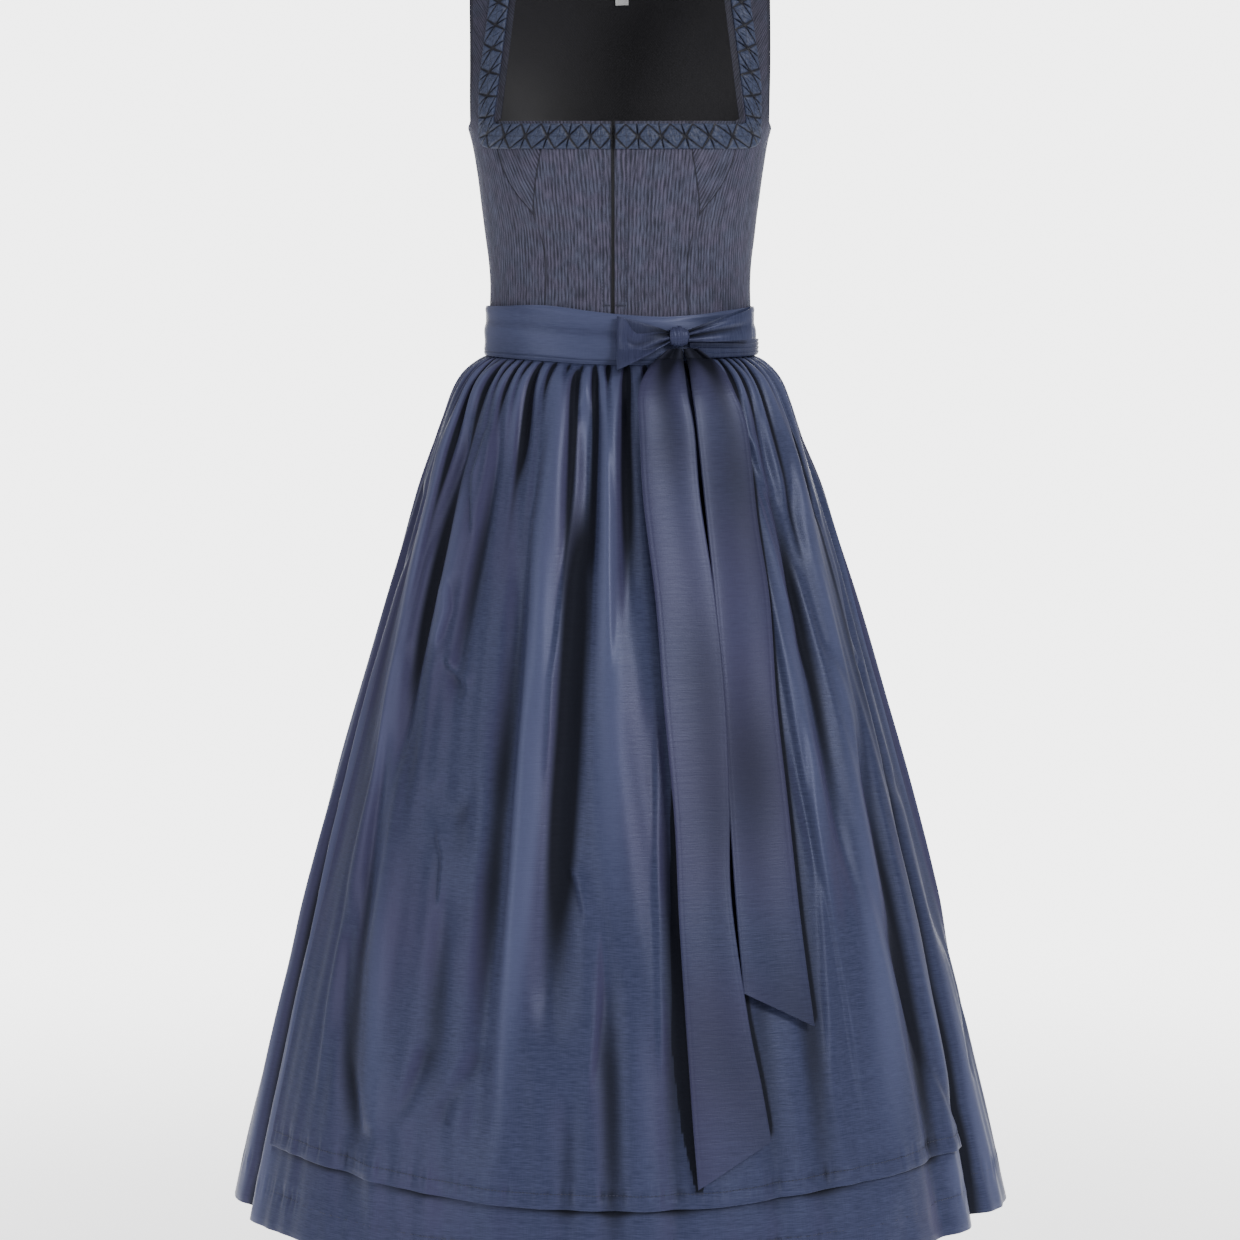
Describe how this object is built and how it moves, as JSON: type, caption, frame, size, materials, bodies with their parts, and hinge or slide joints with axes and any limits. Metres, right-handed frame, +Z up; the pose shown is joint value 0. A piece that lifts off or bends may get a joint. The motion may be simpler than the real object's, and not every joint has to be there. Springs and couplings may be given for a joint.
{
  "type": "dirndl",
  "caption": "Hollow worn dirndl dress: fitted bodice with square neck and pleated ribbon trim, full gathered skirt, apron with waistband and side bow.",
  "frame": {"origin": "middle of the line that joins the undersides of the two shoulder straps at the shoulder seams, where the wearer's shoulders carry the dress", "axes": "+Z up along the body, front of the dress faces -Y, +X towards the wearer's left (the viewer's right)"},
  "size_m": [0.7778, 0.7132, 1.2724],
  "materials": {
    "bodice_jacquard": "fine grey-blue jacquard with vertical shadow stripes, soft satin sheen",
    "taffeta": "crisp two-tone taffeta, slate blue to violet, with horizontal slubs",
    "ribbon_trim": "box-pleated taffeta ribbon with a satin sheen",
    "lining": "smooth charcoal lining",
    "label": "matte woven white label, blank",
    "zip_tape": "matte dark woven tape"
  },
  "bodies": {
    "root": {"front_left": "bodice_jacquard", "front_right": "bodice_jacquard", "bust_wedge_left": "bodice_jacquard", "bust_wedge_right": "bodice_jacquard", "side_front_left": "bodice_jacquard", "side_front_right": "bodice_jacquard", "back": "bodice_jacquard", "back_lining": "lining", "neck_label": "label", "front_zip_tape": "zip_tape", "neck_trim_left": "ribbon_trim", "neck_trim_right": "ribbon_trim", "skirt_front": "taffeta", "skirt_back": "taffeta", "apron": "taffeta", "apron_band": "taffeta", "apron_tie_wrap": "taffeta", "bow_knot": "taffeta", "bow_loop_left": "taffeta", "bow_loop_right": "taffeta", "bow_tail_front": "taffeta", "bow_tail_back": "taffeta"}
  },
  "joints": []
}
